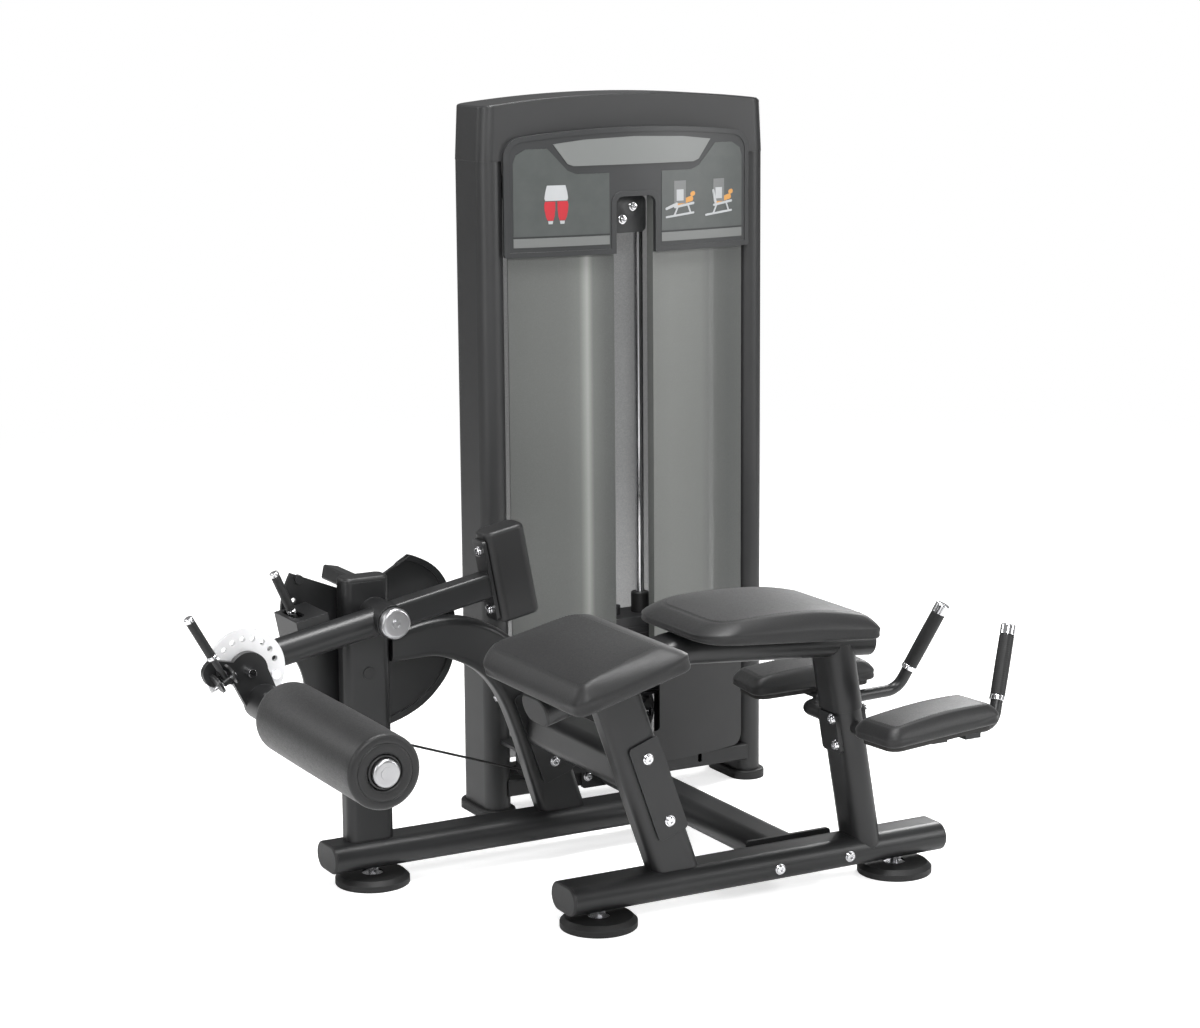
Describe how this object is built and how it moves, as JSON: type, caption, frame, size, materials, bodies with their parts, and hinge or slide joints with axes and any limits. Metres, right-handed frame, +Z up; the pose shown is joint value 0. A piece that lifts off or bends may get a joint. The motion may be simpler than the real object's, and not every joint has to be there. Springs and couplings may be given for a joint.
{
  "type": "prone leg curl machine",
  "caption": "Prone leg curl machine: split padded bench, arm rests with grips, ankle roller on a counterweighted lever and cam, and a cable-driven weight stack tower.",
  "frame": {"origin": "middle of the overall footprint, on the floor", "axes": "+X from the foot end to the head end of the bench, +Y from the bench towards the weight tower, +Z up"},
  "size_m": [1.604, 1.1802, 1.561],
  "materials": {
    "frame_paint": "matte charcoal black powder coat",
    "pad_vinyl": "grained black vinyl",
    "pad_board": "black-stained plywood",
    "roller_foam": "dense black foam with a soft skin",
    "black_plastic": "fine-textured moulding",
    "black_rubber": "matte rubber",
    "chrome": "bright plated",
    "steel": "ground",
    "disc_bright": "bright turned",
    "plate_iron": "painted black",
    "cable_jacket": "nylon jacket",
    "smoked_sheet": "speckled translucent grey sheet",
    "placard_print": "grey printed film, no lettering"
  },
  "bodies": {
    "frame": {"arch_leg": "frame_paint", "arm_pad_front": "pad_vinyl", "arm_pad_rear": "pad_vinyl", "base_cross_tube": "frame_paint", "bearing_housing": "frame_paint", "bearing_races": "steel", "cable_drop": "cable_jacket", "cable_run": "cable_jacket", "chest_pad": "pad_vinyl", "column_feet": "black_rubber", "foot_discs": "black_rubber", "foot_studs": "steel", "frame_fasteners": "chrome", "front_base_beam": "frame_paint", "front_leg": "frame_paint", "front_shrouds": "smoked_sheet", "grip_collars": "chrome", "guide_rods": "chrome", "hand_grips": "black_rubber", "handle_frame": "frame_paint", "joint_plates": "frame_paint", "leg_crossmember": "frame_paint", "lever_post": "frame_paint", "lower_cover": "black_plastic", "pad_boards": "pad_board", "placard_frame": "black_plastic", "placard_panels": "placard_print", "pulley_forks": "frame_paint", "rear_base_beam": "frame_paint", "rear_shroud": "smoked_sheet", "resting_plates": "plate_iron", "right_leg": "frame_paint", "right_leg_sleeve": "frame_paint", "spine_tube": "frame_paint", "thigh_pad": "pad_vinyl", "top_cap": "black_plastic", "tower_columns": "frame_paint", "tower_crossbars": "frame_paint", "tube_end_caps": "black_plastic"},
    "cam": {"cam_quadrant": "frame_paint", "pivot_shaft": "steel"},
    "lever": {"lever_arm": "frame_paint", "counterweight": "frame_paint", "lever_hardware": "chrome", "adjust_disc": "disc_bright"},
    "start_handle": {"start_handle": "black_rubber"},
    "start_pin": {"start_pin": "steel"},
    "roller_arm": {"roller_arm": "frame_paint", "roller_arm_hardware": "chrome"},
    "adjust_handle": {"adjust_handle": "black_rubber"},
    "adjust_pin": {"adjust_pin": "steel"},
    "roller": {"roller_foam": "roller_foam", "roller_hub": "black_plastic"},
    "stack": {"head_plate": "plate_iron", "lifted_plates": "plate_iron", "rod_bumpers": "black_rubber"},
    "selector_pin": {"selector_pin": "black_rubber"},
    "top_pulley": {"top_pulley": "black_plastic"},
    "bottom_pulley": {"bottom_pulley": "black_plastic"},
    "guide_pulley": {"guide_pulley": "black_plastic"}
  },
  "joints": [
    {"name": "cam_turn", "type": "hinge", "parent": "frame", "child": "cam", "pos_m": [-0.35581, 0.23215, 0.562], "axis": [0, 1, 0], "range_deg": [0, 110]},
    {"name": "lever_start_position", "type": "hinge", "parent": "cam", "child": "lever", "pos_m": [-0.35581, 0.10315, 0.562], "axis": [0, 1, 0], "range_deg": [-20, 20]},
    {"name": "start_handle_tilt", "type": "hinge", "parent": "lever", "child": "start_handle", "pos_m": [-0.49962, 0.16515, 0.52642], "axis": [-0.9823, 0, -0.1874], "range_deg": [0, 22]},
    {"name": "start_pin_slide", "type": "slide", "parent": "lever", "child": "start_pin", "axis": [0, 1, 0], "range_m": [0, 0.006]},
    {"name": "roller_arm_turn", "type": "hinge", "parent": "lever", "child": "roller_arm", "pos_m": [-0.66229, 0.05515, 0.50354], "axis": [0, 1, 0], "range_deg": [0, 80]},
    {"name": "adjust_handle_tilt", "type": "hinge", "parent": "roller_arm", "child": "adjust_handle", "pos_m": [-0.71905, 0.02115, 0.49885], "axis": [-0.866, 0, -0.5], "range_deg": [0, 27]},
    {"name": "adjust_pin_slide", "type": "slide", "parent": "roller_arm", "child": "adjust_pin", "axis": [0, 1, 0], "range_m": [0, 0.006]},
    {"name": "roller_spin", "type": "hinge", "parent": "roller_arm", "child": "roller", "pos_m": [-0.63481, -0.29185, 0.44], "axis": [0, 1, 0], "continuous": true},
    {"name": "stack_lift", "type": "slide", "parent": "frame", "child": "stack", "axis": [0, 0, 1], "range_m": [0, 0.452], "deforming": ["cable_drop"]},
    {"name": "selector_pin_pull", "type": "slide", "parent": "stack", "child": "selector_pin", "axis": [0, -1, 0], "range_m": [0, 0.1]},
    {"name": "top_pulley_turn", "type": "hinge", "parent": "frame", "child": "top_pulley", "pos_m": [0.43633, 0.51846, 1.47], "axis": [0.2428, -0.9701, 0], "range_deg": [-477.6, 0]},
    {"name": "bottom_pulley_turn", "type": "hinge", "parent": "frame", "child": "bottom_pulley", "pos_m": [0.45319, 0.50515, 0.175], "axis": [-0.5913, 0.8065, 0], "range_deg": [0, 581.2]},
    {"name": "guide_pulley_turn", "type": "hinge", "parent": "frame", "child": "guide_pulley", "pos_m": [0.07119, 0.27379, 0.164], "axis": [0.3075, -0.3795, 0.8726], "range_deg": [-581.2, 0]}
  ],
  "couplings": [
    {"joint": "stack_lift", "follows": "cam_turn", "m_per_rad": 0.235},
    {"joint": "top_pulley_turn", "follows": "cam_turn", "ratio": -4.2895},
    {"joint": "bottom_pulley_turn", "follows": "cam_turn", "ratio": 5.2222},
    {"joint": "guide_pulley_turn", "follows": "cam_turn", "ratio": -5.2222},
    {"joint": "start_pin_slide", "follows": "start_handle_tilt", "m_per_rad": 0.0156},
    {"joint": "adjust_pin_slide", "follows": "adjust_handle_tilt", "m_per_rad": 0.0118}
  ]
}
